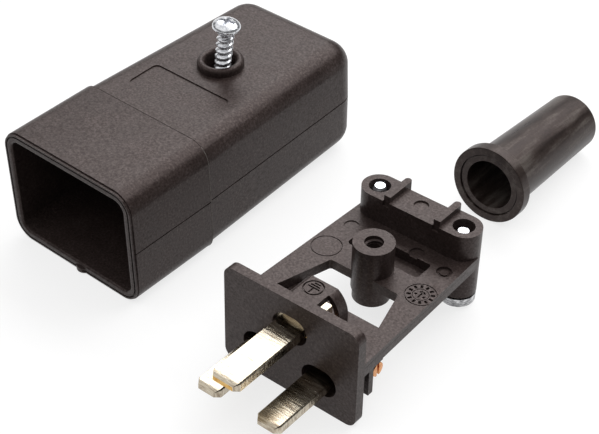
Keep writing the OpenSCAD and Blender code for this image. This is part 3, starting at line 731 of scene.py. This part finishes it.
def waistRidge(look):
    upper = waistCorner(look, range(look["groovedTo"], -1, -look["step"]), 1)
    bulge = waistRow(look, look["centre"][0] + look["corner"] + look["bulge"], look["middle"], 0)
    lower = waistCorner(look, range(0, look["flashTo"] - 1, -look["step"]), -1)
    return sweep(look["ridge"], upper + [bulge] + lower)


carve(shown["housing"], [setAt(rimCutter(rimLook), housingAt), setAt(waistGroove(waistLook), housingAt)])
# the flash ridge on the right side takes the pale plastic, partly a painted highlight
shownMesh("waistFlash", setAt(waistRidge(waistLook), housingAt), "plastic", "flashHighlight")


# thread in the boss of the insert, fading out at both ends

threadLook = {
    "at": (0, 23.43 * mm, 18.7 * mm), "wall": 1.8 * mm, "into": 0.05 * mm, "crest": 1.42 * mm,
    "pitch": 1.0 * mm, "half": 0.26 * mm, "top": 0.6 * mm, "turns": 4,
    "perTurn": 40, "fade": 12, "smooth": 50,
}


def threadRidge(look):
    bm = bmesh.new()
    count = look["turns"] * look["perTurn"]
    drop = look["pitch"] / look["perTurn"]
    foot = look["wall"] + look["into"]
    section = ((foot, look["half"]), (look["crest"], 0), (foot, -look["half"]))
    verts = [bm.verts.new((r, 0, z)) for r, z in section]
    edges = [bm.edges.new(pair) for pair in zip(verts, verts[1:] + verts[:1])]
    bmesh.ops.spin(bm, geom=verts + edges, cent=(0, 0, 0), axis=(0, 0, 1), dvec=(0, 0, -drop),
                   angle=2 * math.pi * look["turns"], steps=count)
    for v in bm.verts:
        if v.co.xy.length < look["wall"]:
            step = -v.co.z / drop
            height = (look["wall"] - look["crest"]) * min(step, count - step, look["fade"]) / look["fade"]
            v.co.xy = v.co.xy.normalized() * (look["wall"] - height)
    bmesh.ops.translate(bm, verts=bm.verts, vec=Vector(look["at"]) - Vector((0, 0, look["top"])))
    return bm


ridge = setAt(threadRidge(threadLook), insertAt)
shownMesh("bossThread", ridge, "plastic", smoothAngle=threadLook["smooth"])
print("signs and lines cut")


# floor, light and camera

floorLook = {"half": 2.0, "glow": 0.76, "farGlow": 0.95, "reach": (0.4, 1.2), "colour": 0.27}


# the floor glows for the camera and in reflections only, so that it keeps the shadows
def makeFloor(look):
    bm = bmesh.new()
    bmesh.ops.create_grid(bm, x_segments=1, y_segments=1, size=look["half"])
    mesh = bpy.data.meshes.new("floor")
    bm.to_mesh(mesh)
    bm.free()
    mat, tree, shader = newMaterial("paleFloor", Base_Color=(*[look["colour"]] * 3, 1), Roughness=1.0,
                                    Specular_IOR_Level=0, Emission_Color=(1, 1, 1, 1))
    rays = addNode(tree, "LightPath").outputs
    seen = mathNode(tree, "ADD", rays["Is Camera Ray"], rays["Is Glossy Ray"])
    seen = mathNode(tree, "ADD", seen, rays["Is Transmission Ray"])
    away = addNode(tree, "VectorMath", [(0, objectPoint(tree))], operation="LENGTH")
    level = spread(tree, away.outputs["Value"], (look["glow"], look["farGlow"]), look["reach"])
    feed(tree, shader, Emission_Strength=mathNode(tree, "MULTIPLY", seen, level))
    mesh.materials.append(mat)
    floor = bpy.data.objects.new("floor", mesh)
    bpy.context.scene.collection.objects.link(floor)


def makeWorld(level=0.14):
    world = bpy.data.worlds.new("studio")
    world.use_nodes = True
    back = world.node_tree.nodes["Background"]
    back.inputs["Color"].default_value = (1, 1, 1, 1)
    back.inputs["Strength"].default_value = level
    bpy.context.scene.world = world


lampLook = {
    "ceiling": {"at": (-0.35, 0.15, 0.92), "aim": (-0.35, 0.15, 0), "size": (2.1, 2.5), "watts": 14.5},
    "softbox": {"at": (-0.15, 0.85, 0.9), "aim": (-0.15, 0.85, 0), "size": (1.8, 0.9), "watts": 16.5},
    "wall": {"at": (-1.5, 1.1, 0.5), "aim": (0, 0, 0.05), "size": (1.5, 0.9), "watts": 2.6},
}


def makeLamp(name, look):
    light = bpy.data.lights.new(name, "AREA")
    light.energy = look["watts"]
    light.shape = "RECTANGLE"
    light.size, light.size_y = look["size"]
    lamp = bpy.data.objects.new(name, light)
    lamp.location = look["at"]
    lamp.rotation_euler = (Vector(look["aim"]) - Vector(look["at"])).to_track_quat("-Z", "Y").to_euler()
    bpy.context.scene.collection.objects.link(lamp)


# the view of the photo: focal length and turn fitted to the edges of the housing and the plate
cameraFit = {
    "width": 599, "height": 434, "focal": 1529.18,     # pixels
    "yaw": 0.7168, "pitch": 0.694, "roll": -0.0088,    # radians
    "originAt": (77.08, 268.63),                       # pixel amid the housing's lower front edge
    "depth": 290.6 * mm, "sensor": 36, "nearest": 0.01,
}


def makeCamera(fit):
    side = Vector((math.cos(fit["yaw"]), math.sin(fit["yaw"]), 0))
    ahead = Vector((-math.sin(fit["yaw"]), math.cos(fit["yaw"]), 0))
    look = ahead * math.cos(fit["pitch"]) - Vector((0, 0, math.sin(fit["pitch"])))
    rise = ahead * math.sin(fit["pitch"]) + Vector((0, 0, math.cos(fit["pitch"])))
    right = side * math.cos(fit["roll"]) + rise * math.sin(fit["roll"])
    up = rise * math.cos(fit["roll"]) - side * math.sin(fit["roll"])
    px = (fit["originAt"][0] - fit["width"] / 2) / fit["focal"]
    py = (fit["originAt"][1] - fit["height"] / 2) / fit["focal"]
    spot = housingAt.translation - (right * px - up * py + look) * fit["depth"]
    data = bpy.data.cameras.new("camera")
    data.sensor_width = fit["sensor"]
    data.lens = fit["focal"] / fit["width"] * fit["sensor"]
    data.clip_start = fit["nearest"]
    camera = bpy.data.objects.new("camera", data)
    camera.matrix_world = Matrix.Translation(spot) @ Matrix((right, up, -look)).transposed().to_4x4()
    bpy.context.scene.collection.objects.link(camera)
    bpy.context.scene.camera = camera


makeFloor(floorLook)
makeWorld()
for name, look in lampLook.items():
    makeLamp(name, look)
makeCamera(cameraFit)
bpy.context.scene.view_settings.view_transform = "Standard"
print("stage ready")
